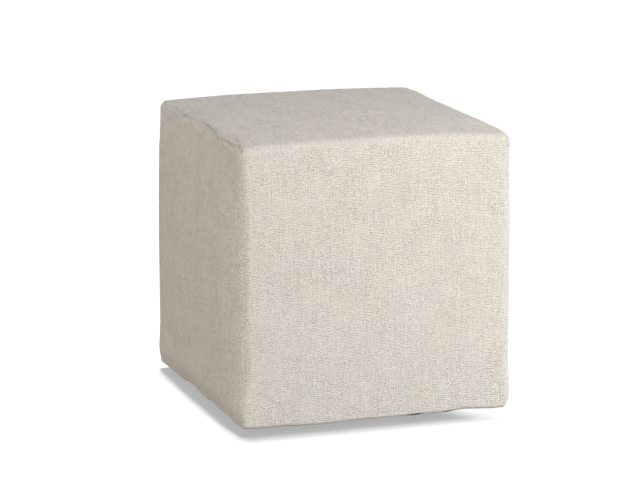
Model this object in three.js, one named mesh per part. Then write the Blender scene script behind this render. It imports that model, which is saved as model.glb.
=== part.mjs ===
// A cube ottoman upholstered in a linen-look weave, built in millimetres with +Z up.
// Origin: on the floor, under the middle of the cube. The front faces -Y, the left side -X.
//
// One strip of cloth runs up the front, over the top and down the back of the filled body.
// A square panel closes each side. It is sewn to the strip along the front, top and back edges
// and turned under at the bottom. A thin dust cover and four glides finish the underside.
import * as THREE from 'three'

// ---- Driving dimensions -------------------------------------------------------------------
const WIDTH = 454 // across the two sides, at their front and back edges
const DEPTH = 458.5 // from the front to the back, at their side edges
const HEIGHT = 464 // from the floor to the highest point of the top
const CLOTH = 2 // thickness of the upholstery cloth with its backing
const GAP = 0.3 // clearance between pieces that lie flat on each other
const SEAM_GAP = 0.5 // clearance between a side panel and the body it is sewn to

const TOP_ROUND = 13 // the strip rolls over the front and back top edges
const BOTTOM_ROUND = 9 // the strip rolls under the front and back bottom edges
const SIDE_ROUND = 20 // the rounded upright edge along which the side panels are sewn
const SIDE_ROUND_TOP = 11.5 // the same edge along the top
const SIDE_ROUND_LOW = 8 // and where the panel turns under the bottom
const TIGHTEN_HEIGHT = 60 // height over which one side rounding turns into the other

const SIDE_CROWN = 4 // how far the middle of a side panel stands proud of its edges
const FRONT_CROWN = 3 // the same for the front and the back
const TOP_DRAW = 6.5 // how far the side seams pull the top down below its middle
const FRONT_CORNER_DRAW = 5 // further drop at the two front top corners
const BACK_CORNER_LIFT = 3 // rise at the two back top corners
const RIGHT_DRAW = 2 // further drop of the right top edge towards the front
const SHOULDER_DRAW = 2.2 // how far the side edges lean in towards the top
const LEFT_SHOULDER = 4 // further lean of the left side just below the top
const RIGHT_SHOULDER = 1.8 // the same for the right side
const FOOT_TUCK = 4.5 // how far the side edges are drawn in at the bottom
const LEFT_FRONT_BOW = 4 // how far the left front edge bows inwards along its length
const EDGE_LIFT = 2.4 // how far the staples pull up the wavy bottom edge
const LEFT_LIFT = 5.4 // how far they pull up the bottom edge of the left side
const WAVES_ACROSS = 4.1 // radians of that wave per half width
const WAVES_DEEP = 5.3 // and per half depth
const RIM_SHARPNESS = 24 // the higher, the closer the wave keeps to the bottom edge

const SEAM_DEPTH = 1.3 // the seam lies this far below the rounded edge
const TURN_UNDER = 30 // cloth folded flat under the bottom

const GLIDE_HEIGHT = 8
const GLIDE_RADIUS = 14
const GLIDE_FOOT_RADIUS = 11 // the flat that touches the floor
const GLIDE_INSET = 62 // from the edges of the cube to a glide's centre
const DUST_COVER = 1.2 // thickness of the dust cover
const DUST_COVER_INSET = 20 // from the edges of the cube to the dust cover
const DUST_COVER_CORNER = 12

const UNDERSIDE = GLIDE_HEIGHT + GAP + DUST_COVER + GAP // lowest level of the upholstery
const HALF_WIDTH = WIDTH / 2
const HALF_DEPTH = DEPTH / 2
const MIDDLE_HEIGHT = (UNDERSIDE + HEIGHT) / 2

// How finely each stretch is divided
const FACE_STEPS = 7
const TOP_ROUND_STEPS = 4
const BOTTOM_ROUND_STEPS = 3
const STRIP_STEPS = 10
const TURN_STEPS = 3
const PANEL_RINGS = 3
const GLIDE_SIDES = 16

// ---- Finishes -----------------------------------------------------------------------------
const linen = () => new THREE.MeshStandardMaterial({ color: 0xd8d1c7, roughness: 0.95, metalness: 0 })
const cambric = () => new THREE.MeshStandardMaterial({ color: 0x2b2a29, roughness: 0.9, metalness: 0 })
const plastic = () => new THREE.MeshStandardMaterial({ color: 0x3a2f28, roughness: 0.5, metalness: 0 })

// ---- The cube's section, front to back ------------------------------------------------------
const lerp = THREE.MathUtils.lerp
const smoothstep = THREE.MathUtils.smoothstep

// Fractions from 0 to 1 that lie closer together at both ends
function crowded(steps) {
  return Array.from({ length: steps + 1 }, (_, i) => (1 - Math.cos((Math.PI * i) / steps)) / 2)
}

// The upright side edge is rounder than its ends at the top and the bottom
function sideRound(z) {
  const risen = smoothstep(z - UNDERSIDE - BOTTOM_ROUND, 0, TIGHTEN_HEIGHT)
  const atTop = smoothstep(z, HEIGHT - TIGHTEN_HEIGHT, HEIGHT - TOP_ROUND)
  return lerp(lerp(SIDE_ROUND_LOW, SIDE_ROUND, risen), SIDE_ROUND_TOP, atTop)
}

// How far the side panel reaches round the side edge. The seam lies halfway round it, runs on to
// its end at the two bottom corners, and from there the turned-under cloth is cut as a mitre
function panelReach(y, normalZ, round) {
  const turned = Math.asin(Math.max(0, -normalZ)) / (Math.PI / 2)
  const fromCorner = HALF_DEPTH - BOTTOM_ROUND - Math.abs(y)
  const under = turned > 0.99 ? THREE.MathUtils.clamp(fromCorner, 0, TURN_UNDER) : 0
  return (round * Math.PI * (1 + turned)) / 4 + under
}

function outlinePoint(y, z, normalY, normalZ) {
  const round = sideRound(z)
  return { y, z, normalY, normalZ, round, reach: panelReach(y, normalZ, round) }
}

// Bottom, back, top and front, counter-clockwise seen from +X: the way each faces, the radius
// before it and after it, and the steps in the rounded corner after it
const FACES = [
  { turn: -90, round: BOTTOM_ROUND, nextRound: BOTTOM_ROUND, steps: BOTTOM_ROUND_STEPS },
  { turn: 0, round: BOTTOM_ROUND, nextRound: TOP_ROUND, steps: TOP_ROUND_STEPS },
  { turn: 90, round: TOP_ROUND, nextRound: TOP_ROUND, steps: TOP_ROUND_STEPS },
  { turn: 180, round: TOP_ROUND, nextRound: BOTTOM_ROUND, steps: BOTTOM_ROUND_STEPS },
]

function sectionOutline() {
  const points = []
  const halfHeight = (HEIGHT - UNDERSIDE) / 2
  for (const face of FACES) {
    const turn = THREE.MathUtils.degToRad(face.turn)
    const upright = face.turn % 180 === 0
    const outwards = upright ? HALF_DEPTH : halfHeight
    const sideways = upright ? halfHeight : HALF_DEPTH
    // s runs along the face, out is the distance from the middle, bend turns the normal
    const place = (s, out, bend) => {
      const y = Math.cos(turn) * out - Math.sin(turn) * s
      const z = MIDDLE_HEIGHT + Math.sin(turn) * out + Math.cos(turn) * s
      points.push(outlinePoint(y, z, Math.cos(turn + bend), Math.sin(turn + bend)))
    }
    const start = face.round - sideways
    const end = sideways - face.nextRound
    for (const t of crowded(FACE_STEPS).slice(1, -1)) place(lerp(start, end, t), outwards, 0)
    for (let i = 0; i <= face.steps; i++) {
      const bend = (Math.PI / 2) * (i / face.steps)
      const drop = face.nextRound * (1 - Math.cos(bend))
      place(end + face.nextRound * Math.sin(bend), outwards - drop, bend)
    }
  }
  return points
}

const OUTLINE = sectionOutline()

// ---- Shape of the soft surface --------------------------------------------------------------
// How far a side leans inwards. u, v and h are a point's place across, front to back and
// upwards, as shares of the cube
function leanInwards(u, v, h) {
  const leftFront = u < 0 ? THREE.MathUtils.clamp((-v - 0.7) / 0.3, 0, 1) ** 2 : 0
  const bow = 6.75 * h * (1 - h) ** 2
  const ends = SHOULDER_DRAW * smoothstep(h, 0.5, 1) + FOOT_TUCK * (1 - smoothstep(h, 0, 0.07))
  const shoulder = (u < 0 ? LEFT_SHOULDER : RIGHT_SHOULDER) * smoothstep(h, 0.8, 1)
  return lerp(ends, LEFT_FRONT_BOW * bow, leftFront) + shoulder
}

// How far a point is drawn down: most at the top, along the side seams and at the front corners
function drawDown(u, v, h) {
  const corner = (u * v) ** 8 * (v < 0 ? FRONT_CORNER_DRAW : -BACK_CORNER_LIFT)
  const right = u > 0 ? RIGHT_DRAW * smoothstep(-v, -0.4, 0.8) : 0
  return h * h * ((TOP_DRAW + right) * Math.abs(u) ** 3 + corner)
}

// How far the staples lift a point near the bottom edge
function liftUp(u, v, h) {
  const low = Math.max(0, 1 - h)
  const wave = (1 + Math.sin(WAVES_ACROSS * u + 2.3) * Math.cos(WAVES_DEEP * v + 0.6)) / 2
  const rim = Math.max(u, -u, v, -v) ** RIM_SHARPNESS * low ** RIM_SHARPNESS
  const raised = (1 - smoothstep(Math.abs(v + 0.05), 0.45, 0.95)) * (1 + 0.4 * Math.cos(14.3 * (v - 0.2)))
  return EDGE_LIFT * wave * rim + LEFT_LIFT * raised * Math.max(0, -u) ** 6 * low ** 8
}

// Moves a point of the plain rounded cube to where the padding and the seams bring it
function settle(x, y, z) {
  const u = x / HALF_WIDTH
  const v = y / HALF_DEPTH
  const h = (z - UNDERSIDE) / (HEIGHT - UNDERSIDE)
  const fullness = 4 * h * (1 - h)
  const side = u * Math.abs(u) ** 5
  const face = v * Math.abs(v) ** 5
  const crownX = SIDE_CROWN * side * (1 - v * v) * fullness
  const crownY = FRONT_CROWN * face * (1 - u * u) * fullness
  const lean = side * leanInwards(u, v, h)
  return new THREE.Vector3(x + crownX - lean, y + crownY, z - drawDown(u, v, h) + liftUp(u, v, h))
}

// A point on the rounded side edge. along: distance from the side face, round the edge and on
// across the strip. depth: distance below the surface
function edgePoint(o, side, along, depth) {
  const arc = (o.round * Math.PI) / 2
  const angle = Math.PI / 2 - Math.min(along, arc) / o.round
  const inset = o.round * (1 - Math.cos(angle)) + depth * Math.cos(angle)
  const x = HALF_WIDTH - o.round + (o.round - depth) * Math.sin(angle) - Math.max(0, along - arc)
  return settle(side * x, o.y - o.normalY * inset, o.z - o.normalZ * inset)
}

// A point on the side face. share: 0 at its middle, 1 where the rounded edge starts
function facePoint(o, side, share, depth) {
  const y = (o.y - o.normalY * o.round) * share
  const z = MIDDLE_HEIGHT + (o.z - o.normalZ * o.round - MIDDLE_HEIGHT) * share
  return settle(side * (HALF_WIDTH - depth), y, z)
}

// ---- Rings of points, joined into closed bodies -----------------------------------------------
// level counts up from the middle of a side to the strip. Surfaces that lie on each other have
// rings of the same levels, so that their facets are split the same way and keep their gap
const ring = (level, place) => ({ level, points: OUTLINE.map(place) })
const SEAM_LEVEL = PANEL_RINGS + TURN_STEPS + 2

// Distances round the edge at which the side panel's rings lie, up to the given reach
function panelSteps(o, reach) {
  const bend = Math.min(0.75 * reach, (o.round * Math.PI) / 2)
  return [...Array.from({ length: TURN_STEPS + 1 }, (_, i) => (bend * i) / TURN_STEPS), reach]
}

// The side panel's surface, or the one beneath it: rings from the seam to the middle of the side
function panelRings(side, depth, overlap, seamDepth) {
  const rings = []
  for (let i = TURN_STEPS + 1; i >= 0; i--) {
    const sunk = i > TURN_STEPS ? seamDepth : depth
    const along = (o) => panelSteps(o, o.reach + overlap)[i]
    rings.push(ring(PANEL_RINGS + 1 + i, (o) => edgePoint(o, side, along(o), sunk)))
  }
  // the rings on the flat of the side lie closer together towards its edge
  for (let k = PANEL_RINGS; k > 0; k--) {
    const share = Math.sin((Math.PI / 2) * (k / (PANEL_RINGS + 1)))
    rings.push(ring(k, (o) => facePoint(o, side, share, depth)))
  }
  return rings
}

const panelMiddle = (side, depth) => settle(side * (HALF_WIDTH - depth), 0, MIDDLE_HEIGHT)

// Joins rings into a skin that starts and ends in a point
function closedSkin(first, rings, last, outwards) {
  const points = [first, ...rings.flatMap((r) => r.points), last]
  const positions = points.flatMap((p) => [p.x, p.y, p.z])
  const count = OUTLINE.length
  const at = (r, i) => 1 + r * count + (i % count)
  const end = 1 + rings.length * count
  const index = []
  const triangle = (a, b, c) => (outwards ? index.push(a, b, c) : index.push(a, c, b))
  for (let i = 0; i < count; i++) triangle(0, at(0, i + 1), at(0, i))
  for (let r = 0; r + 1 < rings.length; r++) {
    const rising = rings[r].level <= rings[r + 1].level
    for (let i = 0; i < count; i++) {
      const [a, b, c, d] = [at(r, i), at(r, i + 1), at(r + 1, i + 1), at(r + 1, i)]
      triangle(a, b, rising ? c : d)
      triangle(rising ? a : b, c, d)
    }
  }
  for (let i = 0; i < count; i++) triangle(end, at(rings.length - 1, i), at(rings.length - 1, i + 1))
  const geometry = new THREE.BufferGeometry()
  geometry.setAttribute('position', new THREE.Float32BufferAttribute(positions, 3))
  geometry.setIndex(index)
  return geometry
}

// ---- Sub-parts ----------------------------------------------------------------------------------
const group = new THREE.Group()

function add(name, geometry, material) {
  const mesh = new THREE.Mesh(geometry, material)
  mesh.name = name
  group.add(mesh)
  return mesh
}

// The end of the body on one side, from the crown of the strip to the middle under the panel
function bodyEnd(side) {
  const half = SEAM_GAP / 2
  const bed = CLOTH + SEAM_GAP
  const shoulder = ring(SEAM_LEVEL, (o) => edgePoint(o, side, o.reach + (o.round * Math.PI) / 8, 0))
  const seam = ring(SEAM_LEVEL, (o) => edgePoint(o, side, o.reach + half, SEAM_DEPTH))
  return [shoulder, seam, ...panelRings(side, bed, half, bed)]
}

function filledBody() {
  const across = (share) =>
    ring(SEAM_LEVEL, (o) => {
      const flat = HALF_WIDTH - o.round - Math.max(0, o.reach - (o.round * Math.PI) / 4)
      return settle(flat * share, o.y, o.z)
    })
  const strip = crowded(STRIP_STEPS).map((t) => across(2 * t - 1))
  const bed = CLOTH + SEAM_GAP
  const rings = [...bodyEnd(-1).reverse(), ...strip, ...bodyEnd(1)]
  return closedSkin(panelMiddle(-1, bed), rings, panelMiddle(1, bed), true)
}

function sidePanel(side) {
  const half = -SEAM_GAP / 2
  const outer = panelRings(side, 0, half, SEAM_DEPTH)
  const inner = panelRings(side, CLOTH, half, CLOTH)
  const rings = [...inner.reverse(), ...outer]
  return closedSkin(panelMiddle(side, CLOTH), rings, panelMiddle(side, 0), side > 0)
}

// A thin rectangle with rounded corners, stapled flat under the bottom
function dustCover() {
  const halfX = HALF_WIDTH - DUST_COVER_INSET
  const halfY = HALF_DEPTH - DUST_COVER_INSET
  const r = DUST_COVER_CORNER
  const shape = new THREE.Shape()
  shape.absarc(halfX - r, halfY - r, r, 0, Math.PI / 2)
  shape.absarc(-halfX + r, halfY - r, r, Math.PI / 2, Math.PI)
  shape.absarc(-halfX + r, -halfY + r, r, Math.PI, Math.PI * 1.5)
  shape.absarc(halfX - r, -halfY + r, r, Math.PI * 1.5, Math.PI * 2)
  shape.closePath()
  return new THREE.ExtrudeGeometry(shape, { depth: DUST_COVER, bevelEnabled: false, curveSegments: 4 })
}

// A low round foot with a flat sole and an eased rim, standing on the floor
function glide() {
  const profile = [
    new THREE.Vector2(0, 0),
    new THREE.Vector2(GLIDE_FOOT_RADIUS, 0),
    new THREE.Vector2(GLIDE_RADIUS - 0.8, GLIDE_HEIGHT * 0.2),
    new THREE.Vector2(GLIDE_RADIUS, GLIDE_HEIGHT * 0.5),
    new THREE.Vector2(GLIDE_RADIUS, GLIDE_HEIGHT),
    new THREE.Vector2(0, GLIDE_HEIGHT),
  ]
  return new THREE.LatheGeometry(profile, GLIDE_SIDES).rotateX(Math.PI / 2)
}

// ---- Assembly -----------------------------------------------------------------------------------
add('filled_body', filledBody(), linen())
add('side_panel_left', sidePanel(-1), linen())
add('side_panel_right', sidePanel(1), linen())
add('dust_cover', dustCover(), cambric()).position.z = GLIDE_HEIGHT + GAP

for (const [end, v] of [['front', -1], ['back', 1]]) {
  for (const [hand, u] of [['left', -1], ['right', 1]]) {
    const foot = add(`glide_${end}_${hand}`, glide(), plastic())
    foot.position.set(u * (HALF_WIDTH - GLIDE_INSET), v * (HALF_DEPTH - GLIDE_INSET), 0)
  }
}

export default group
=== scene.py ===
# %% [markdown]
# # A cube ottoman in a linen-look weave
# The real thing is a timber box padded with foam and covered in heavy woven cloth. One strip of
# that cloth runs up the front, over the top and down the back, and a square panel is sewn to it
# on each side. This lesson makes the soft surface, lets a cloth simulation settle it, sews the
# seams into it, and then weaves the cloth itself in a node material.

# %% Load the frame that every piece has to fit
import math

import bpy
import numpy as np
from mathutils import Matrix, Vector


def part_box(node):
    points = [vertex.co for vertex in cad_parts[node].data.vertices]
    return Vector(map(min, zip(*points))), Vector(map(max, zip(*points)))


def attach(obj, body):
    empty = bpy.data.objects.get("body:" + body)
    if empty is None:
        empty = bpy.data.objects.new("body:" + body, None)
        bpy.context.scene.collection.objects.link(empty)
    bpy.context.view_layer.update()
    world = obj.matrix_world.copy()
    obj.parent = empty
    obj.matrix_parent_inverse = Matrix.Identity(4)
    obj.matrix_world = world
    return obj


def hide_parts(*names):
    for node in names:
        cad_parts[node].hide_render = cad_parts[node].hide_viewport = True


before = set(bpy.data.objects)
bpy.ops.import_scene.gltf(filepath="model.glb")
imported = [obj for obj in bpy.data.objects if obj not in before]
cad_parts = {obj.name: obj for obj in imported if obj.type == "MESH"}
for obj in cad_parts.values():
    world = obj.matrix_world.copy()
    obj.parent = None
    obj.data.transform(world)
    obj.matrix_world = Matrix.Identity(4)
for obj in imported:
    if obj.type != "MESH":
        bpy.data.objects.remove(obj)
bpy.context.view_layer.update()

print("the frame holds", sorted(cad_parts))

# %% [markdown]
# ## The measures
# Everything is in metres. The outside sizes come from the frame, and what the frame can't say,
# such as how far the foam crowns each face and how round the edges are, is named here. The crown
# is taken off the outside size first, because it comes back when the faces are pushed out.

# %% Sizes of the cube
body_low, body_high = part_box("filled_body")
panel_low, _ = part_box("side_panel_left")

side_crown = 0.004
front_crown = 0.003
half_width = -panel_low.x - side_crown
half_depth = body_high.y - front_crown
underside = body_low.z
height = body_high.z
middle = Vector((0, 0, (underside + height) / 2))
half_size = np.array([half_width, half_depth, (height - underside) / 2])
print(f"half sizes {half_size.round(4)}, underside {underside:.4f}, top {height:.4f}")

# %% How round each edge is
top_round = 0.013
side_round = 0.020
bottom_round = 0.0050
# the upright edges have their full rounding between these two shares of the height
full_round_from, full_round_to = 0.06 / (height - underside), 0.9
# the left front edge is rounded more tightly: by this much, times a share at each height
tighter_edge = -0.006
TIGHTER_AT = [(0.0, 0.0), (0.06, 0.6), (0.15, 1.0), (0.95, 1.0), (1.0, 0.0)]
print(f"the left front edge is rounded with {1000 * (side_round + tighter_edge):.0f} mm")

# %% [markdown]
# ## The grid of the cube
# A cube could start as a primitive with a bevel, but then its faces would be one big quad each.
# Cloth needs an even grid of small quads that runs on round the edges. So the grid is worked
# out: every line of it is either on the flat of a face, or a step round a quarter of the edge.
# A point's direction is how far it has turned along each axis, and that one rule rounds the
# twelve edges and the eight corners at once.

# %% Lines of the grid along one axis
steps = 64
edge_steps = 5
crowding = 0.5

lines = np.arange(steps + 1)
from_end = np.minimum(lines, steps - lines)
turn = np.tan(math.pi / 4 * np.clip(1 - from_end / edge_steps, 0, 1))
turn *= np.sign(lines - steps / 2)
share = 2 * np.clip((lines - edge_steps) / (steps - 2 * edge_steps), 0, 1) - 1
flat = (1 - crowding) * share + crowding * np.sin(math.pi / 2 * share)
print(f"{steps} steps a side, {edge_steps} of them round each half edge")

# %% Points of the grid on the surface of the cube
grid = np.indices((steps + 1,) * 3).reshape(3, -1).T
grid = grid[((grid == 0) | (grid == steps)).any(axis=1)]
number = np.full((steps + 1,) * 3, -1)
number[tuple(grid.T)] = np.arange(len(grid))

flat_place = flat[grid]
turned = turn[grid]
rise = (flat_place[:, 2] + 1) / 2
rounding = np.interp(
    rise,
    [0, full_round_from, full_round_to, 1],
    [bottom_round, side_round, side_round, top_round],
)
near_left_front = ((1 - flat_place[:, 0]) * (1 - flat_place[:, 1]) / 4) ** 3
tighter = tighter_edge * np.interp(rise, *zip(*TIGHTER_AT)) * near_left_front
rounding = (rounding + tighter)[:, None]
direction = turned / np.linalg.norm(turned, axis=1)[:, None]
plain = np.array(middle) + flat_place * (half_size - rounding) + rounding * direction
print(f"{len(plain)} points, {plain.min(0).round(4)} to {plain.max(0).round(4)}")


# %% Quads of the grid, face by face
def cube_face(axis, side):
    """The quads of one face, as grid places of their four corners, facing outwards."""
    a, b = np.meshgrid(lines[:-1], lines[:-1], indexing="ij")
    corners = []
    for step_a, step_b in ((0, 0), (1, 0), (1, 1), (0, 1)):
        place = np.zeros((steps, steps, 3), int)
        place[..., axis] = side
        place[..., (axis + 1) % 3] = a + step_a
        place[..., (axis + 2) % 3] = b + step_b
        corners.append(place.reshape(-1, 3))
    quads = np.stack(corners, axis=1)
    return quads if side else quads[:, ::-1]


quads = np.concatenate([cube_face(axis, side) for axis in range(3) for side in (0, steps)])
faces = number[tuple(np.moveaxis(quads, 2, 0))]
print(f"{len(faces)} quads")

# %% [markdown]
# ## Which cloth each quad belongs to
# The side panels end halfway round the side edges, where they are sewn to the strip. At the
# bottom they have no seam: they turn under and are stapled flat, so some quads of the underside
# are theirs too. The cut is made later, after the simulation, so that both cloths meet exactly.

# %% Strip, left panel or right panel
STRIP, LEFT, RIGHT = 0, 1, 2
turn_under = 0.03

centre_of_quad = plain[faces].mean(axis=1)
on_side = (quads[..., 0] == 0).all(axis=1) | (quads[..., 0] == steps).all(axis=1)
on_bottom = (quads[..., 2] == 0).all(axis=1)
past_edge = np.abs(centre_of_quad[:, 0]) > half_width - bottom_round - turn_under
between_corners = np.abs(centre_of_quad[:, 1]) < half_depth - 2 * bottom_round
of_panel = on_side | (on_bottom & past_edge & between_corners)
cloth_of = np.where(of_panel, np.where(centre_of_quad[:, 0] < 0, LEFT, RIGHT), STRIP)
print("quads of the strip and the two panels:", np.bincount(cloth_of))

# %% [markdown]
# ## Flat coordinates of the cloth
# A weave follows its yarns, not the shape that the cloth is pulled over. So each quad gets its
# place on the flat cloth, in metres, as a UV map: across the strip and along it, or across a
# panel and up it. Where the strip rolls over the top edge, the second number simply runs on. The
# panels lie far to both sides of the strip, as three pieces would on a cutting table.


# %% Distances along the grid, measured on the cloth
def run_along(half, line, tighter=0.0):
    """Distance of a grid line from the middle line, measured over the surface."""
    edge_turn = (1 - from_end[line] / edge_steps).clip(0) * math.pi / 4
    edge_radius = side_round + tighter
    return flat[line] * (half - edge_radius) + np.sign(flat[line]) * edge_radius * edge_turn


across = run_along(half_width, quads[..., 0], tighter[faces])
deep = run_along(half_depth, quads[..., 1], tighter[faces])
up = run_along(half_size[2], quads[..., 2])
width_run, depth_run, height_run = (run_along(half, steps) for half in half_size)
strip_length = 2 * (2 * height_run + depth_run + turn_under)
print(f"the strip is {2 * width_run:.3f} m across and {strip_length:.3f} m long")

# %% Place of each corner on the flat cloth
cut_apart = 3.0

on_front = (quads[..., 1] == 0).all(axis=1)
on_back = (quads[..., 1] == steps).all(axis=1)
on_top = (quads[..., 2] == steps).all(axis=1)
front_half = centre_of_quad[:, 1] < 0
along_strip = np.select(
    [on_front[:, None], on_top[:, None], on_back[:, None], front_half[:, None]],
    [
        up + height_run,
        2 * height_run + deep + depth_run,
        3 * height_run + 2 * depth_run - up,
        -(deep + depth_run),
    ],
    4 * height_run + 3 * depth_run - deep,
)
up_panel = np.where(on_bottom[:, None], -height_run - (width_run - np.abs(across)), up)
is_panel = of_panel[:, None]
left_or_right = np.where(cloth_of == LEFT, -1, 1)[:, None]
flat_u = np.where(is_panel, left_or_right * (deep + cut_apart), across)
flat_v = np.where(is_panel, up_panel, along_strip)
flat_uv = np.stack([flat_u, flat_v], axis=2)
print(f"flat places from {flat_uv.min((0, 1)).round(3)} to {flat_uv.max((0, 1)).round(3)}")

# %% [markdown]
# ## How the padding and the seams shape it
# Foam pushes each face out in the middle. The sewn edges draw the sides in and pull the top
# down, and at the bottom the staples lift the cloth unevenly. These are slow, even changes, so
# formulas do them better than sculpting would. In them, u runs from left -1 to right 1, v from
# front -1 to back 1, and h from the underside 0 to the top 1.


# %% Helpers for slow changes
def smooth(value, start, end):
    """Rises from 0 at start to 1 at end, without a kink."""
    t = np.clip((value - start) / (end - start), 0, 1)
    return t * t * (3 - 2 * t)


def bell(value, centre, half):
    """1 at the centre, falling off evenly to both sides, and small past twice the half width."""
    return np.exp(-(((value - centre) / half) ** 2))


def near_faces(place):
    """-1 and 1 at two opposite faces of the cube, and nearly 0 well inside them."""
    return place * np.abs(place) ** 5


def near_front(v, start):
    """Rises from 0 at start, counted towards the front, to 1 at the front face."""
    return ((-v - start) / (1 - start)).clip(0, 1) ** 2


# %% [markdown]
# The shoulders and the foot of both sides are drawn in. The left front edge bows inwards between
# its ends instead. At the bottom the two front corners are tucked in further, the right one over
# a shorter height.

# %% How far the sides are drawn in
shoulder_draw, foot_tuck = 0.0022, 0.0045
left_shoulder, right_shoulder = 0.0040, 0.0018
front_edge_draw = 0.009
edge_from, corner_from = 0.55, 0.7
left_tuck, right_tuck = 0.0070, 0.0068
# shares of the height between which each of these comes in or fades out
foot_end, left_tuck_end, right_tuck_end = (0, 0.07), (0, 0.09), (-0.01, 0.035)
shoulder_start, top_start = (0.5, 1), (0.8, 1)
bow_start, bow_end = (0, 0.2), (0.75, 0.97)


def drawn_in(u, v, h):
    """How far each place of the two sides lies inside the plain cube."""
    left_front = near_front(v, edge_from) * (u < 0)
    lean = shoulder_draw * smooth(h, *shoulder_start) + foot_tuck * (1 - smooth(h, *foot_end))
    top_lean = np.where(u < 0, left_shoulder, right_shoulder) * smooth(h, *top_start)
    bow = smooth(h, *bow_start) * (1 - smooth(h, *bow_end))
    lean = lean * (1 - left_front) + top_lean + front_edge_draw * left_front * bow
    tuck = np.where(
        u < 0,
        left_tuck * (1 - smooth(h, *left_tuck_end)),
        right_tuck * (1 - smooth(h, *right_tuck_end)),
    )
    return lean + tuck * near_front(v, corner_from)


left_foot = np.array([-1.0, 0.0, 0.0])
print(f"the left foot is drawn in {1000 * drawn_in(*left_foot):.1f} mm")

# %% [markdown]
# The side seams pull the top down, most of all at the front corners and least at the back ones.
# Between them the front top edge droops. The right top edge stands up a little near the back.

# %% How far the top is pulled down
top_draw = 0.0065
front_corner_draw, back_corner_draw = 0.005, -0.0030
front_right_draw = 0.0020
front_droop = 0.0052
right_rise, rise_place, rise_half = 0.0028, 0.71, 0.17
# shares of the way to the front, the right or the left between which each of these changes
right_draw_start, droop_start, right_end, left_fade = (-0.4, 0.8), (0.5, 1), (0.85, 1), (0.7, 1)


def pulled_down(u, v, h):
    """How far each place near the top lies below the plain cube."""
    corner_draw = np.where(v < 0, front_corner_draw, back_corner_draw)
    right_draw = front_right_draw * smooth(-v, *right_draw_start)
    right_draw = right_draw - right_rise * bell(v, rise_place, rise_half)
    right_draw = right_draw * (u > 0) * np.abs(u) ** 3
    droop = front_droop * smooth(-v, *droop_start)
    droop = droop * (1 - smooth(u, *right_end)) * (1 - 0.5 * smooth(-u, *left_fade))
    draw = top_draw * np.abs(u) ** 3 + corner_draw * (u * v) ** 8 + right_draw
    return h * h * draw + h**8 * droop


left_front_corner = np.array([-1.0, -1.0, 1.0])
print(f"the left front corner is pulled down {1000 * pulled_down(*left_front_corner):.1f} mm")

# %% How far the lower edge is lifted
edge_lift = 0.0024
waves_across, waves_deep = 4.1, 5.3
rim_sharpness = 24
# place along the left lower edge, from front -1 to back 1, and how far it is lifted there
LEFT_LIFT = [
    (-1.00, 0.0030), (-0.85, 0.0012), (-0.71, 0.0024), (-0.57, 0.0038), (-0.42, 0.0034),
    (-0.28, 0.0070), (-0.13, 0.0030), (0.02, 0.0047), (0.15, 0.0082), (0.28, 0.0060),
    (0.42, 0.0013), (0.57, 0.0003), (0.70, 0.0015), (1.00, 0.0000),
]
# place along the front lower edge, from left -1 to right 1, and how far it is lifted there
FRONT_LIFT = [
    (-1.00, 0.0000), (-0.67, 0.0007), (-0.44, -0.0018), (-0.36, -0.0014), (-0.20, 0.0000),
    (0.16, 0.0004), (0.27, -0.0008), (0.39, 0.0000), (0.51, -0.0012), (0.63, 0.0026),
    (0.70, 0.0016), (0.80, 0.0000), (0.88, -0.0014), (1.00, -0.0010),
]


def lifted(u, v, h):
    """How far the staples lift the lower edge: a slow wave all round, and the two lists."""
    wave = (1 + np.sin(waves_across * u + 2.3) * np.cos(waves_deep * v + 0.6)) / 2
    low = (1 - h).clip(0, 1)
    rim = np.maximum(np.abs(u), np.abs(v)).clip(0, 1) ** rim_sharpness * low**rim_sharpness
    left_lift = np.interp(v, *zip(*LEFT_LIFT)) * (u < 0) * near_faces(u) ** 2 * low**8
    front_lift = np.interp(u, *zip(*FRONT_LIFT)) * (v < 0) * near_faces(v) ** 2 * low**8
    return edge_lift * wave * rim + left_lift + front_lift


print(f"the left lower edge is lifted up to {1000 * max(lift for _, lift in LEFT_LIFT):.1f} mm")


# %% Bring the plain cube into shape
def settle(points):
    """Moves points of the plain rounded cube to where the padding and the seams bring them."""
    x, y, z = points.T
    u = x / half_width
    v = y / half_depth
    h = (z - underside) / (height - underside)
    fullness = 4 * h * (1 - h)
    crown_x = side_crown * near_faces(u) * (1 - v**4) * fullness
    crown_y = front_crown * near_faces(v) * (1 - u * u) * fullness
    new_x = x + crown_x - near_faces(u) * drawn_in(u, v, h)
    new_z = z - pulled_down(u, v, h) + lifted(u, v, h)
    return np.stack([new_x, y + crown_y, new_z], axis=1)


settled = settle(plain)
print(f"settled from {settled.min(0).round(4)} to {settled.max(0).round(4)}")

# %% [markdown]
# ## From numbers to meshes
# Blender's mesh fills from plain lists. One helper makes a mesh with its flat cloth coordinates,
# and one reads the points back, because later steps work on all points at once.


# %% Mesh helpers
def make_mesh(name, points, mesh_faces, uv=None, shade=None):
    """A mesh from points and faces, with its flat cloth coordinates and shade if it has any."""
    mesh = bpy.data.meshes.new(name)
    mesh.from_pydata(points.tolist(), [], mesh_faces.tolist())
    if uv is not None:
        layer = mesh.uv_layers.new(name="cloth")
        layer.data.foreach_set("uv", uv.reshape(-1).astype(np.float32))
    if shade is not None:
        layer = mesh.attributes.new("shade", "FLOAT", "POINT")
        layer.data.foreach_set("value", shade.astype(np.float32))
    mesh.shade_smooth()
    return mesh


def show(name, data):
    """A new object with this mesh, lamp or camera, in the scene."""
    shown = bpy.data.objects.new(name, data)
    bpy.context.scene.collection.objects.link(shown)
    return shown


def read(collection, field, width, kind=np.float32):
    """One field of a mesh's vertices, faces or loops, as an array."""
    values = np.zeros(len(collection) * width, kind)
    collection.foreach_get(field, values)
    return values.reshape(-1, width) if width > 1 else values


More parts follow.
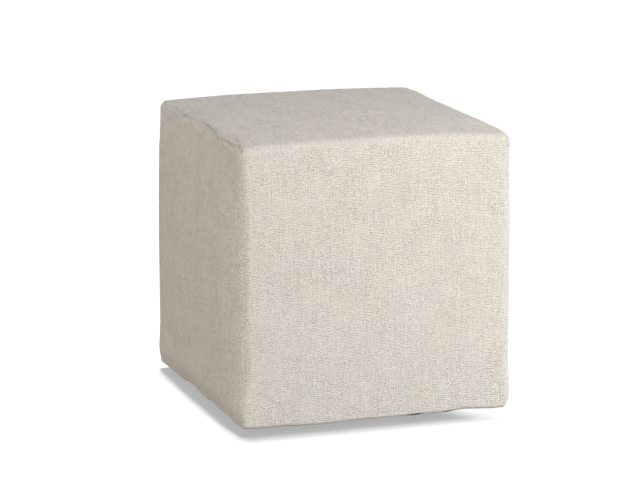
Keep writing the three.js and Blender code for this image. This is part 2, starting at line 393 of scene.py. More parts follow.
# %% The skin, which keeps each point's place on the plain cube
skin = show("skin", make_mesh("skin", settled, faces, flat_uv))
kept_plain = skin.data.attributes.new("plain", "FLOAT_VECTOR", "POINT")
kept_plain.data.foreach_set("vector", plain.reshape(-1).astype(np.float32))
kept_rounding = skin.data.attributes.new("rounding", "FLOAT", "POINT")
kept_rounding.data.foreach_set("value", rounding.reshape(-1).astype(np.float32))
skin.data.polygons.foreach_set("material_index", cloth_of.astype(np.int32))
print(f"skin with {len(skin.data.polygons)} quads")

# %% [markdown]
# ## Letting the cloth settle
# Cloth that was cut a little too large, sewn down at its edges and pushed out by foam makes
# small soft puckers that nobody places by hand. Blender's Cloth does this: pressure stands in
# for the foam, a vertex group holds the seams and the stapled underside, and gravity is off
# because foam carries the cloth. Twenty frames are enough for it to come to rest. How far a
# point may move is capped, because this cover is tight.

# %% What is held, and how firmly
seam_hold = 1.0
edge_hold = 0.6
face_hold = 0.3
# a point's turn is 0 on the flat of a face and 1 where it has turned all the way to the seam
barely_turned, fully_turned = 1e-6, 0.999

on_edge = (np.abs(turned) > barely_turned).sum(axis=1) >= 2
held = np.where(on_edge, edge_hold, face_hold)
turned_sideways = np.abs(turned[:, 0]) > fully_turned
is_seam = turned_sideways & (np.abs(turned[:, 1:]).max(axis=1) > fully_turned)
held[is_seam] = seam_hold
held[grid[:, 2] == 0] = seam_hold
group = skin.vertex_groups.new(name="held")
for weight in np.unique(held):
    group.add(np.flatnonzero(held == weight).tolist(), float(weight), "REPLACE")
print(f"{int((held == seam_hold).sum())} of {len(held)} points are held firmly")

# %% How the cloth behaves
settling_frames = 20


def simulate(target):
    """Runs the cloth to rest and returns its points."""
    cloth = target.modifiers.new("Cloth", "CLOTH")
    settings = cloth.settings
    settings.quality = 6
    settings.mass = 0.4
    settings.tension_stiffness = 25
    settings.compression_stiffness = 25
    settings.shear_stiffness = 10
    settings.bending_stiffness = 1.5
    settings.shrink_min = -0.007
    settings.use_pressure = True
    settings.uniform_pressure_force = 4
    settings.vertex_group_mass = "held"
    settings.pin_stiffness = 1.5
    settings.effector_weights.gravity = 0
    cloth.collision_settings.use_collision = False
    cloth.point_cache.frame_start = 1
    cloth.point_cache.frame_end = settling_frames
    for number_of_frame in range(1, settling_frames + 1):
        bpy.context.scene.frame_set(number_of_frame)
    shown = target.evaluated_get(bpy.context.evaluated_depsgraph_get())
    points = read(shown.data.vertices, "co", 3)
    target.modifiers.remove(cloth)
    bpy.context.scene.frame_set(1)
    return points


movement_cap = 0.0014

moved = simulate(skin) - settled
reach = np.linalg.norm(moved, axis=1)[:, None]
print(f"the cloth moved {1000 * reach.mean():.2f} mm on average, {1000 * reach.max():.2f} at most")
rested = settled + moved * np.minimum(1, movement_cap / np.maximum(reach, 1e-9))
skin.data.vertices.foreach_set("co", rested.reshape(-1).astype(np.float32))
skin.data.update()

# %% [markdown]
# ## A finer surface
# The seams and creases that come next are a few millimetres wide. One level of subdivision gives
# enough points for them. It carries the flat cloth coordinates and the plain cube's points along.

# %% Subdivide once
finer = skin.modifiers.new("Finer", "SUBSURF")
finer.levels = 1
finer.render_levels = 1
bpy.context.view_layer.update()
fine = bpy.data.meshes.new_from_object(skin.evaluated_get(bpy.context.evaluated_depsgraph_get()))
bpy.data.objects.remove(skin)

points = read(fine.vertices, "co", 3).astype(float)
normals = read(fine.vertices, "normal", 3).astype(float)
plain = read(fine.attributes["plain"].data, "vector", 3).astype(float)
edge_round = read(fine.attributes["rounding"].data, "value", 1).astype(float)
faces = read(fine.loops, "vertex_index", 1, np.int32).reshape(-1, 4)
flat_uv = read(fine.uv_layers["cloth"].data, "uv", 2).reshape(-1, 4, 2)
cloth_of = read(fine.polygons, "material_index", 1, np.int32)
print(f"{len(points)} points and {len(faces)} quads")

# %% [markdown]
# ## Sewing the seams
# A sewn seam lies lower than the cloth on both sides of it, and the stitches gather the cloth
# into short puckers. First each point gets its distance from the seam, measured over the rounded
# edge: negative on the panel and positive on the strip.

# %% Distance from the side seams
x, y, z = plain.T
from_side = half_width - np.abs(x)
from_strip = np.minimum(half_depth - np.abs(y), height - z)
bend = np.arctan2((edge_round - from_strip).clip(0), (edge_round - from_side).clip(0))
from_seam = edge_round * (bend - math.pi / 4)
from_seam += (from_side - edge_round).clip(0) - (from_strip - edge_round).clip(0)
at_top = height - z < half_depth - np.abs(y)
along_seam = np.where(at_top, y, z - middle.z)
sewn = smooth(z, underside, underside + 2 * bottom_round)
print(f"{int((np.abs(from_seam) < 0.003).sum())} points lie within 3 mm of a seam")

# %% Depth of the seams
seam_width = 0.0022
upright_seam_depth = 0.0001
top_seam_depth = 0.0016

seam_depth = np.where(at_top, top_seam_depth, upright_seam_depth) * sewn
sunk = seam_depth * bell(from_seam, 0, seam_width)
print(f"the seams alone are sunk {1000 * sunk.max():.1f} mm at the deepest")

# %% [markdown]
# The puckers differ in length, depth and spacing, as they do under a real needle. They are drawn
# at random from a fixed seed, so that the script makes the same ottoman each time.

# %% How the puckers differ
PUCKER_SPACING = {"top": 0.014, "front": 0.03, "back": 0.03}
PUCKER_DEPTH = {"top": 0.0007, "front": 0.0003, "back": 0.0003}
spacing_share = (0.5, 1.6)
depth_share = (0.2, 1.6)
pucker_width = (0.002, 0.005)
reach_on_panel = (0.004, 0.011)
reach_on_strip = 0.006


# %% Puckers along the seams
def seam_side(hand, run):
    """Picks the points near one run of one side seam."""
    picked = np.sign(x) == hand
    if run == "top":
        return picked & at_top
    return picked & ~at_top & (np.sign(y) == (-1 if run == "front" else 1))


def pucker(where, place, width, depth, panel_reach):
    """A short trough across the seam, for the points picked by where."""
    reach = np.where(from_seam < 0, panel_reach, reach_on_strip)
    trough = depth * bell(along_seam, place, width) * bell(from_seam, 0, reach)
    return np.where(where, trough, 0)


rng = np.random.default_rng(5)
pucker_count = 0
for hand in (-1, 1):
    for run in ("top", "front", "back"):
        where = seam_side(hand, run)
        place = -half_depth
        while place < half_depth:
            place += PUCKER_SPACING[run] * rng.uniform(*spacing_share)
            depth = PUCKER_DEPTH[run] * rng.uniform(*depth_share)
            width = rng.uniform(*pucker_width)
            sunk += sewn * pucker(where, place, width, depth, rng.uniform(*reach_on_panel))
            pucker_count += 1
print(f"{pucker_count} puckers")

# %% [markdown]
# The left top seam is the uneven one. It was sewn a little off the edge, now to one side and now
# to the other, and its folds are placed one by one. Each fold also has a painted shade, which the
# cloth's material reads later to darken its colour. Below zero it is painted light instead.

# %% The wandering seam
# place along the seam, and how far the seam lies up over the edge there
LEFT_WANDER = [
    (-0.229, 0.000), (-0.205, 0.002), (-0.170, -0.001), (-0.135, -0.002), (-0.100, -0.003),
    (-0.056, 0.004), (0.000, 0.006), (0.050, 0.003), (0.100, 0.001), (0.150, 0.005), (0.229, 0.000),
]
wander_reach = 0.022

on_left_top = seam_side(-1, "top")
wander = np.interp(along_seam, *zip(*LEFT_WANDER)) * bell(from_seam, 0, wander_reach)
wander = np.where(on_left_top, wander, 0)
up_over_edge = np.stack([normals[:, 2], np.zeros(len(points)), -normals[:, 0]], axis=1)
points += wander[:, None] * up_over_edge
print(f"the seam wanders from {1000 * wander.min():.1f} to {1000 * wander.max():.1f} mm")

# %% The folds of that seam
# place along the seam, distance from it, half size along and across, depth, painted shade
LEFT_FOLDS = [
    (0.150, 0.001, 0.004, 0.003, 0.0010, 0.30),
    (0.092, 0.016, 0.005, 0.018, 0.0022, 0.16),
    (0.092, 0.000, 0.012, 0.0025, 0.0012, 0.20),
    (0.078, -0.009, 0.018, 0.004, -0.0018, -0.05),
    (-0.002, 0.000, 0.010, 0.0020, 0.0012, 0.26),
    (-0.036, 0.000, 0.018, 0.0022, 0.0014, 0.28),
    (-0.078, -0.003, 0.014, 0.007, 0.0016, 0.15),
    (-0.100, -0.003, 0.003, 0.002, 0.0006, 0.42),
    (-0.110, -0.003, 0.003, 0.002, 0.0006, 0.36),
    (-0.122, -0.001, 0.003, 0.002, 0.0006, 0.36),
    (-0.160, 0.000, 0.022, 0.002, 0.0010, 0.24),
    (-0.158, 0.012, 0.026, 0.007, 0.0028, 0.13),
    (-0.197, 0.003, 0.006, 0.003, 0.0014, 0.40),
    (-0.220, 0.000, 0.004, 0.002, 0.0008, 0.34),
]
fold_shade = np.zeros(len(points))
# each fold sinks the cloth, and its painted shade darkens the cloth's colour there, or lightens it
# as painted light below zero
for place, distance, half_along, half_across, depth, shade in LEFT_FOLDS:
    near = bell(along_seam, place, half_along) * bell(from_seam, distance, half_across)
    near = np.where(on_left_top, near, 0)
    sunk += depth * near
    fold_shade += shade * near
points -= normals * sunk[:, None]
print(f"the seams and folds are sunk {1000 * sunk.max():.1f} mm at the deepest")

# %% [markdown]
# The front's lower edge stands a little off the floor. In two places the cloth that turns under
# there is darkened with painted shade, and beside them it is lightened with painted light.

# %% Painted shade and light under the front edge
# place along the edge, half length, and painted shade, which is painted light below zero
LOW_MARKS = [(0.064, 0.012, 0.85), (0.118, 0.007, 0.60), (0.026, 0.010, -0.10)]
# bounds of the painted light and the painted shade
lightest, darkest = -0.2, 0.8

low_front = (y < 0) & (z < underside + 0.8 * bottom_round) & (from_seam > 0)
for place, half_along, shade in LOW_MARKS:
    fold_shade += np.where(low_front, shade * bell(x, place, half_along), 0)
fold_shade = fold_shade.clip(lightest, darkest)
print(f"{int((fold_shade > 0.1).sum())} points are shaded")

# %% [markdown]
# ## Cutting the cloths apart
# Now the skin is cut along the seams. A side panel becomes a closed sheet of the cloth's own
# thickness. The strip stays on the filled body, which is one solid, and the body's flanks are
# sunk by a cloth's thickness, so that the panels have a bed to lie in.

# %% Points that both cloths share
cloth_thickness = 0.002
cloth_gap = 0.0002

in_strip = np.zeros(len(points), bool)
in_strip[faces[cloth_of == STRIP]] = True
in_panel = np.zeros(len(points), bool)
in_panel[faces[cloth_of != STRIP]] = True
shared = in_strip & in_panel


def drawn_back(of_cloth, distance):
    """The points, with those on the cut moved back into their own cloth by a distance."""
    own = faces[of_cloth]
    centres = np.repeat(points[own].mean(axis=1), 4, axis=0)
    pull = np.zeros_like(points)
    np.add.at(pull, own.reshape(-1), centres - points[own.reshape(-1)])
    length = np.maximum(np.linalg.norm(pull, axis=1), 1e-12)[:, None]
    return np.where(shared[:, None], points + distance * pull / length, points)


print(f"{int(shared.sum())} points lie on the cuts")


# %% Closed sheets, and the body
def closed_sheet(name, upper, lower, quads, quads_uv, shade=None):
    """A closed sheet: quads on the upper points, the same on the lower ones, and a rim."""
    below = len(upper)
    # an edge that only one quad has lies on the rim
    edges = np.stack([quads, np.roll(quads, -1, axis=1)], axis=2).reshape(-1, 2)
    edge_uv = np.stack([quads_uv, np.roll(quads_uv, -1, axis=1)], axis=2).reshape(-1, 2, 2)
    keys = edges.min(axis=1) * below + edges.max(axis=1)
    _, first, count = np.unique(keys, return_index=True, return_counts=True)
    rim = edges[first[count == 1]]
    rim_uv = edge_uv[first[count == 1]][:, [1, 0, 0, 1]]
    rim_faces = np.stack([rim[:, 1], rim[:, 0], rim[:, 0] + below, rim[:, 1] + below], axis=1)
    all_faces = np.concatenate([quads, quads[:, ::-1] + below, rim_faces])
    all_uv = np.concatenate([quads_uv, quads_uv[:, ::-1], rim_uv])
    return make_mesh(name, np.concatenate([upper, lower]), all_faces, all_uv, shade)


def panel_mesh(name, of_cloth):
    """A side panel: the skin's own surface, and a second one a cloth's thickness beneath it."""
    used, local = np.unique(faces[of_cloth], return_inverse=True)
    upper = drawn_back(of_cloth, cloth_gap / 2)[used]
    lower = upper - normals[used] * cloth_thickness
    shade = np.tile(fold_shade[used], 2)
    return closed_sheet(name, upper, lower, local.reshape(-1, 4), flat_uv[of_cloth], shade)


def body_mesh(name):
    """The filled body: the strip outside, and the bed of the panels on its flanks."""
    bed = np.where(in_panel & ~in_strip, cloth_thickness + cloth_gap, 0)
    body_points = drawn_back(cloth_of == STRIP, cloth_gap / 2) - normals * bed[:, None]
    return make_mesh(name, body_points, faces, flat_uv, fold_shade)


# %% The body and the two panels
body = show("cushioned_body", body_mesh("cushioned_body"))
panels = {}
for hand, cloth in (("left", LEFT), ("right", RIGHT)):
    name = f"panel_{hand}"
    panels[hand] = show(name, panel_mesh(name, cloth_of == cloth))
for piece in (body, *panels.values()):
    piece.data.set_sharp_from_angle(angle=math.radians(50))
    piece.data.calc_loop_triangles()
    print(piece.name, len(piece.data.loop_triangles), "triangles")

# %% [markdown]
# ## The underside
# Nobody sees it, and every maker still finishes it: a thin black cloth is stapled over the
# bottom to keep the dust in, its edges folded under, and a round glide is nailed on at each
# corner. The cloth is a thin sheet that dips a little between its staples.

# %% Size of the dust cover
cover_low, cover_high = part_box("dust_cover")
cover_half = np.array([(cover_high.x - cover_low.x) / 2, (cover_high.y - cover_low.y) / 2])
cover_corner = 0.012
cover_steps = 72
hem = 0.012
staple_spacing = 0.045
staple_reach = 0.02
print(f"the dust cover is {2 * cover_half[0]:.3f} by {2 * cover_half[1]:.3f} m")


# %% The dust cover
def rounded_rectangle(half, corner, count):
    """A grid of places, count steps each way, on a rectangle with rounded corners."""
    share = np.linspace(-1, 1, count + 1)
    place = np.stack(np.meshgrid(share, share, indexing="ij"), axis=2) * half
    inner = half - corner
    past = (np.abs(place) - inner).clip(0)
    squeeze = past.max(axis=2) / np.maximum(np.hypot(past[..., 0], past[..., 1]), 1e-9)
    squeeze = np.where((past > 0).all(axis=2), squeeze, 1)[..., None]
    return np.sign(place) * (np.minimum(np.abs(place), inner) + past * squeeze)


def dust_cover_mesh(name):
    """A thin closed sheet with a folded edge and a slight sag between its staples."""
    place = rounded_rectangle(cover_half, cover_corner, cover_steps)
    from_edge = (cover_half - np.abs(place)).min(axis=2)
    inside_hem = smooth(from_edge, hem - 0.001, hem + 0.001)
    staple = np.cos(2 * math.pi * np.abs(place).sum(axis=2) / staple_spacing)
    staple = staple * np.exp(-from_edge / staple_reach)
    lower = cover_low.z + 0.0002 + 0.0003 * inside_hem + 0.0001 * staple
    upper = cover_high.z - 0.15 * (cover_high.z - cover_low.z) - 0.0002 * inside_hem
    upper, lower = (np.dstack([place, level]).reshape(-1, 3) for level in (upper, lower))
    index = np.arange((cover_steps + 1) ** 2).reshape(cover_steps + 1, -1)
    quads = np.stack([index[:-1, :-1], index[1:, :-1], index[1:, 1:], index[:-1, 1:]], axis=2)
    quads = quads.reshape(-1, 4)
    return closed_sheet(name, upper, lower, quads, place.reshape(-1, 2)[quads])


dust_cover = show("dust_cover_cloth", dust_cover_mesh("dust_cover_cloth"))
print(f"{len(dust_cover.data.polygons)} quads")

# %% [markdown]
# A glide is turned from its profile, as on a lathe: a flat sole, a round flank and a small round
# top edge. Both round parts are quarters of an ellipse, in shares of the radius and the height.

# %% Profile of a glide
sole = 0.70
flank_height = 0.55
rim_width, rim_height = 0.05, 0.08

flank_turn = np.linspace(0, math.pi / 2, 7)
flank = [sole + (1 - sole) * np.sin(flank_turn), flank_height * (1 - np.cos(flank_turn))]
rim_turn = np.linspace(0, math.pi / 2, 3)
top_rim = [1 - rim_width * (1 - np.cos(rim_turn)), 1 - rim_height * (1 - np.sin(rim_turn))]
glide_profile = np.hstack([flank, top_rim]).T
print(glide_profile.round(3).tolist())

# %% The glides
GLIDE_SIDES = 64


def glide_mesh(name, low, high):
    """A low round foot, turned from its profile."""
    radius = (high.x - low.x) / 2
    centre = (low + high) / 2
    angles = np.arange(GLIDE_SIDES) * 2 * math.pi / GLIDE_SIDES
    circle = np.stack([np.cos(angles), np.sin(angles)], axis=1)
    rings = []
    for out, level in glide_profile:
        level_z = np.full(GLIDE_SIDES, low.z + (high.z - low.z) * level)
        rings.append(np.column_stack([radius * out * circle + np.array(centre.xy), level_z]))
    ends = np.array([[centre.x, centre.y, low.z], [centre.x, centre.y, high.z]])
    all_points = np.concatenate([*rings, ends])

    # quads between each ring and the next, and a fan of triangles at the bottom and at the top
    last = (len(rings) - 1) * GLIDE_SIDES
    bottom_end = last + GLIDE_SIDES
    neighbours = [(i, (i + 1) % GLIDE_SIDES) for i in range(GLIDE_SIDES)]
    made = []
    for base in range(0, last, GLIDE_SIDES):
        above = base + GLIDE_SIDES
        made += [[base + i, base + j, above + j, above + i] for i, j in neighbours]
    for i, j in neighbours:
        made += [[bottom_end, j, i], [bottom_end + 1, last + i, last + j]]
    mesh = bpy.data.meshes.new(name)
    mesh.from_pydata(all_points.tolist(), [], made)
    mesh.shade_smooth()
    mesh.set_sharp_from_angle(angle=math.radians(40))
    return mesh


glides = {}
for end in ("front", "back"):
    for hand in ("left", "right"):
        node = f"glide_{end}_{hand}"
        glides[node] = show(f"{node}_foot", glide_mesh(node, *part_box(node)))
print(f"{len(glides)} glides")

# %% [markdown]
# ## Fitting the pieces into the frame
# Each piece rides on the one body of the frame and stands for its plain solid there, which is
# hidden. The size of the panels' cut is worked out, with allowances for the seams and the part
# turned under.

# %% Pieces in the frame
seam_allowance = 0.012

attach(body, "root")
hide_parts("filled_body")

panel_cut = (
    2 * depth_run + 2 * seam_allowance,
    2 * height_run + seam_allowance + turn_under,
)
for hand, panel in panels.items():
    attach(panel, "root")
    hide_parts(f"side_panel_{hand}")

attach(dust_cover, "root")
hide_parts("dust_cover")

for node, foot in glides.items():
    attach(foot, "root")
    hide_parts(node)
print(f"panels are cut {panel_cut[0]:.3f} by {panel_cut[1]:.3f} m")

# %% [markdown]
# ## Writing shader maths as expressions
# A weave is arithmetic: which yarn lies on top here, and how far is this place from the middle
# of it. Drawn as nodes that is hard to read, so a small class wraps a node's output and turns
# each operator into a Math node. Every other kind of node comes from one method.


# %% Wires: outputs of nodes that can be reckoned with
class Wire:
    """One output of a node. Arithmetic on wires adds Math nodes to their tree."""

    def __init__(self, finish, node, socket):
        self.finish = finish
        self.node = node
        self.socket = socket

    def output(self, name):
        """Another output of the same node."""
        return Wire(self.finish, self.node, self.node.outputs[name])

    def math(self, operation, *others):
        """A Math node on this wire and the others, which may be numbers."""
        sockets = dict(enumerate((self, *others)))
        return self.finish.node("ShaderNodeMath", {"operation": operation}, sockets)

    def __add__(self, other):
        return self.math("ADD", other)

    __radd__ = __add__

    def __sub__(self, other):
        return self.math("SUBTRACT", other)

    def __rsub__(self, other):
        settings = {"operation": "SUBTRACT"}
        return self.finish.node("ShaderNodeMath", settings, {0: other, 1: self})

    def __mul__(self, other):
        return self.math("MULTIPLY", other)

    __rmul__ = __mul__

    def __truediv__(self, other):
        return self.math("DIVIDE", other)


# %% Finishes: the nodes of one material
class Finish:
    """The nodes of a material or of the world, added one at a time."""

    def __init__(self, tree):
        self.tree = tree
        tree.nodes.clear()

    def node(self, kind, settings=None, sockets=None, out=0):
        """Adds a node: its settings first, then the values or wires of its sockets."""
        made = self.tree.nodes.new(kind)
        for name, value in (settings or {}).items():
            setattr(made, name, value)
        for name, value in (sockets or {}).items():
            if isinstance(value, Wire):
                self.tree.links.new(value.socket, made.inputs[name])
            else:
                made.inputs[name].default_value = value
        return Wire(self, made, made.outputs[out] if made.outputs else None)

    def blend(self, factor, first, second, mode="MIX"):
        """Mixes two colours."""
        settings = {"data_type": "RGBA", "blend_type": mode}
        return self.node("ShaderNodeMix", settings, {0: factor, 6: first, 7: second}, out=2)

    def noise(self, a, b, c, detail=0.0):
        """Smooth noise around one half, at a place. The number c keeps two noises apart."""
        place = self.node("ShaderNodeCombineXYZ", None, {"X": a, "Y": b, "Z": c})
        settings = {"noise_dimensions": "3D"}
        sockets = {"Vector": place, "Scale": 1.0, "Detail": detail, "Roughness": 0.5}
        return self.node("ShaderNodeTexNoise", settings, sockets)

    def speck(self, a, b):
        """A random value between 0 and 1 for each pair of whole numbers."""
        place = self.node("ShaderNodeCombineXYZ", None, {"X": a, "Y": b, "Z": 0.5})
        return self.node("ShaderNodeTexWhiteNoise", {"noise_dimensions": "3D"}, {"Vector": place})

    def ramp(self, value, start, end):
        """Rises smoothly from 0 to 1 as the value goes from start to end."""
        settings = {"interpolation_type": "SMOOTHSTEP"}
        sockets = {"Value": value, "From Min": start, "From Max": end}
        return self.node("ShaderNodeMapRange", settings, sockets)

    def bump(self, height, strength, distance):
        """Makes a height into small bumps."""
        sockets = {"Strength": strength, "Distance": distance, "Height": height}
        return self.node("ShaderNodeBump", None, sockets)

    def surface(self, sockets):
        """The material's surface and its output."""
        made = self.node("ShaderNodeBsdfPrincipled", None, sockets)
        self.node("ShaderNodeOutputMaterial", None, {"Surface": made})


def new_material(name):
    """A material and its empty finish."""
    material = bpy.data.materials.new(name)
    material.use_nodes = True
    return material, Finish(material.node_tree)


# %% [markdown]
# ## The linen weave
# It is a plain weave: each weft line passes over one warp yarn and under the next, and the next
# weft line does the opposite. A weft line is a pair of yarns, and the warp is single. The yarns
# are spun unevenly from cream and taupe fibres, so a yarn changes tone along its length, and
# short lighter and darker flecks stand out. All of it is worked out from the flat coordinates.

# %% Yarn sizes and colours
weft_pitch = 0.00247
warp_pitch = 0.00125
cream = (1.0, 0.945, 0.86, 1)
taupe = (0.46, 0.415, 0.365, 1)
print(f"weft every {1000 * weft_pitch:.2f} mm, warp every {1000 * warp_pitch:.2f} mm")

# %% Which yarn lies here
yarn_wander = 0.0002

linen_weave, linen = new_material("linen_weave")
cloth_place = linen.node("ShaderNodeUVMap", {"uv_map": "cloth"})
u = linen.node("ShaderNodeSeparateXYZ", None, {"Vector": cloth_place})
v = u.output("Y")

# yarns wander a little to both sides, in slow waves
wander_u = (linen.noise(u * 40, v * 8, 3.1) - 0.5) * (2 * yarn_wander)
wander_v = (linen.noise(u * 8, v * 30, 8.7) - 0.5) * (2 * yarn_wander)
warp_place = (u + wander_u) / warp_pitch
weft_place = (v + wander_v) / weft_pitch
warp_number = warp_place.math("FLOOR")
weft_number = weft_place.math("FLOOR")
# two picks make a weft line, and two warp yarns make a pair
pick = (weft_place * 2).math("FLOOR")
warp_pair = (warp_place * 0.5).math("FLOOR")
print(f"{len(linen.tree.nodes)} nodes for the yarns")

# %% How high each yarn stands
pair_groove = 0.45
weft_level, weft_swing = 0.75, 0.25
warp_level, warp_swing = 0.50, 0.35

weft_side = (weft_place - weft_number) * 2 - 1
in_pair = weft_side.math("ABSOLUTE") * 2 - 1
weft_round = 1 - (1 - pair_groove) * (weft_side * weft_side) - pair_groove * (in_pair * in_pair)
warp_side = (warp_place - warp_number) * 2 - 1
warp_round = 1 - warp_side * warp_side

# the weft comes up where the warp goes down, and the other way round in the next line
over = ((warp_place + weft_number) * math.pi).math("SINE")
weft_high = weft_round * (weft_level + weft_swing * over)
warp_high = warp_round * (warp_level - warp_swing * over)
relief = weft_high.math("MAXIMUM", warp_high)
print(f"{len(linen.tree.nodes)} nodes with the relief")

# %% [markdown]
# The grain isn't the same all over. On the front the two yarns of a pair differ in opposite
# ways, which keeps it fine. On the panels each pick has a tone of its own, and over the top each
# warp yarn has.

# %% Which yarns share a tone
roll_over = 0.02

# the panels' flat cloth lies past here, to both sides of the strip
on_panel = linen.ramp(u.math("ABSOLUTE"), 0.4 * cut_apart, 0.5 * cut_apart)
front_edge, back_edge = 2 * height_run, 2 * height_run + 2 * depth_run
over_top = linen.ramp(v, front_edge, front_edge + roll_over)
over_top = over_top * (1 - linen.ramp(v, back_edge - roll_over, back_edge))

weft_twin = 1 - 2 * (pick - 2 * weft_number) * (1 - on_panel)
warp_twin = 1 - 2 * (warp_number - 2 * warp_pair) * (1 - over_top)
weft_key = weft_number + (pick - weft_number) * on_panel
warp_key = warp_pair + (warp_number - warp_pair) * over_top
print(f"the strip lies over the top from {front_edge:.3f} to {back_edge:.3f} m of its length")

# %% Flecks: short lengths of a yarn that are lighter or darker than the rest
weft_fleck_length = 0.0032
warp_fleck_length = 0.005
fleck_stagger = 0.618


def fleck_number(along, length, key):
    """Counts the flecks along a yarn. Each yarn starts its first one somewhere else."""
    return (along / length + key * fleck_stagger).math("FLOOR")


weft_fleck = fleck_number(u + wander_u, weft_fleck_length, weft_key)
weft_flecks = (linen.speck(weft_fleck, weft_key + 0.3) - 0.5) * weft_twin
warp_fleck = fleck_number(v + wander_v, warp_fleck_length, warp_key)
warp_flecks = (linen.speck(warp_key + 0.3, warp_fleck) - 0.5) * warp_twin
print(f"{len(linen.tree.nodes)} nodes with the flecks")

# %% The tone of each place, from taupe 0 to cream 1
weft_streak, warp_streak = 0.012, 0.05
patch, cloud = 0.03, 0.05
middle_tone = 0.70
# how strongly each of these changes the tone
weft_weight, warp_weight, cloud_weight = 0.4, 0.5, 0.25
knuckle_weight, weft_fleck_weight, warp_fleck_weight = 0.48, 0.52, 0.38

# each yarn along its length, at a place of its own in the noise, and each place it comes up
weft_tone = linen.noise(u / weft_streak, pick * 5.17, 0.4, detail=1.0) - 0.5
warp_tone = linen.noise(warp_number * 6.43, v / warp_streak, 5.2, detail=1.0) - 0.5
knuckle = linen.speck(warp_number, pick) - 0.5
# the small differences are stronger in some patches than in others
contrast = 0.2 + 1.6 * linen.noise(u / patch, v / patch, 7.7, detail=1.0)
cloudy = linen.noise(u / cloud, v / cloud, 2.2, detail=2.0) - 0.5
tone = middle_tone + weft_weight * weft_tone + warp_weight * warp_tone + cloud_weight * cloudy
flecks = weft_fleck_weight * weft_flecks
tone = tone + contrast * (knuckle_weight * knuckle + flecks + warp_fleck_weight * warp_flecks)
tone = tone.math("MAXIMUM", 0.0).math("MINIMUM", 1.0)
print(f"{len(linen.tree.nodes)} nodes with the tone")

# %% Colour, with painted shade between the yarns and in the folds, and painted light in a few places
fold_grain = 0.004
# how light the painted shade is in the gaps between weft lines and between warp yarns: 0 is black,
# and 1 is no gap
line_gap, warp_gap = 0.30, 0.45

between_lines = linen.ramp(weft_round, 0.0, 0.55)
between_ends = linen.ramp(warp_round, 0.0, 0.6)
# painted shade of the folds, broken up by a fine noise, which is painted light below zero
painted_fold_shade = linen.node("ShaderNodeAttribute", {"attribute_name": "shade"}, out="Fac")
painted_fold_shade = painted_fold_shade * (0.3 + 1.4 * linen.noise(u / fold_grain, v / fold_grain, 9.1, detail=1.0))
# the colour is darkened with painted shade in the gaps between the yarns and in the folds
painted_shade = (line_gap + (1 - line_gap) * between_lines) * (1 - painted_fold_shade)
painted_shade = painted_shade * (warp_gap + (1 - warp_gap) * between_ends)
painted_shade_grey = linen.node("ShaderNodeCombineXYZ", None, {"X": painted_shade, "Y": painted_shade, "Z": painted_shade})
linen_colour = linen.blend(1.0, linen.blend(tone, taupe, cream), painted_shade_grey, mode="MULTIPLY")

# %% The surface of the linen
fibre_length, fibre_width = 0.0009, 0.0003

fibres = linen.noise(u / fibre_length, v / fibre_width, 6.6, detail=2.0)
linen.surface({
    "Base Color": linen_colour,
    "Roughness": 0.86 + 0.1 * tone,
    "Normal": linen.bump(relief + 0.25 * fibres, strength=0.6, distance=0.0006),
    "Sheen Weight": 0.05,
    "Sheen Roughness": 0.5,
    "Specular IOR Level": 0.15,
})
for piece in (body, *panels.values()):
    piece.data.materials.append(linen_weave)
print(f"the weave has {len(linen.tree.nodes)} nodes")

# %% [markdown]
# ## The underside's finishes
# The dust cover is a black bonded cloth with a faint pattern of pressed dots, and the glides are
# a hard dark-brown plastic, slightly scuffed.

# %% Dust cover cloth
dots_per_metre = 700.0

cambric_cloth, cambric = new_material("dust_cover_cloth")
cambric_place = cambric.node("ShaderNodeUVMap", {"uv_map": "cloth"})
dots = cambric.node(
    "ShaderNodeTexVoronoi",
    {"voronoi_dimensions": "2D", "feature": "F1"},
    {"Vector": cambric_place, "Scale": dots_per_metre, "Randomness": 0.35},
)
pressed = cambric.ramp(dots, 0.25, 0.5)
cambric.surface({
    "Base Color": cambric.blend(pressed, (0.012, 0.012, 0.012, 1), (0.026, 0.025, 0.024, 1)),
    "Roughness": 0.8 + 0.12 * pressed,
    "Normal": cambric.bump(pressed, strength=0.4, distance=0.0003),
})
dust_cover.data.materials.append(cambric_cloth)
print(f"the dust cover's cloth has {len(cambric.tree.nodes)} nodes")

# %% Glide plastic
scuffs_per_metre = 900.0

glide_plastic, plastic = new_material("glide_plastic")
glide_place = plastic.node("ShaderNodeTexCoord").output("Object")
scuff_sockets = {"Vector": glide_place, "Scale": scuffs_per_metre, "Detail": 4.0}
scuffs = plastic.node("ShaderNodeTexNoise", None, scuff_sockets)
worn = plastic.ramp(scuffs, 0.45, 0.75)
plastic.surface({
    "Base Color": plastic.blend(worn, (0.045, 0.030, 0.022, 1), (0.085, 0.062, 0.048, 1)),
    "Roughness": 0.38 + 0.25 * worn,
    "Normal": plastic.bump(scuffs, strength=0.2, distance=0.0002),
})
for foot in glides.values():
    foot.data.materials.append(glide_plastic)
print(f"the glides' plastic has {len(plastic.tree.nodes)} nodes")

# %% [markdown]
# ## The floor
# The floor has no edge. To the camera it glows white enough that only the soft shadow shows on
# it, and to everything else it is almost black, so that it throws no light back at the ottoman.
# Towards the right end of the front edge painted white light fades in over the shadow, so from
# there to a little behind the middle the floor is plain white.

# %% The floor's finish
floor_glow = 0.41
floor_grey = (0.25, 0.25, 0.25, 1)
floor_dark = (0.025, 0.025, 0.025, 1)
white = (1, 1, 1, 1)
# where painted white light over the shadow turns the floor plain white towards the right, how
# aslant that is, and where it ends
clear_from, clear_to = 0.125, 0.200
clear_slant = 0.6
clear_depth = 0.2

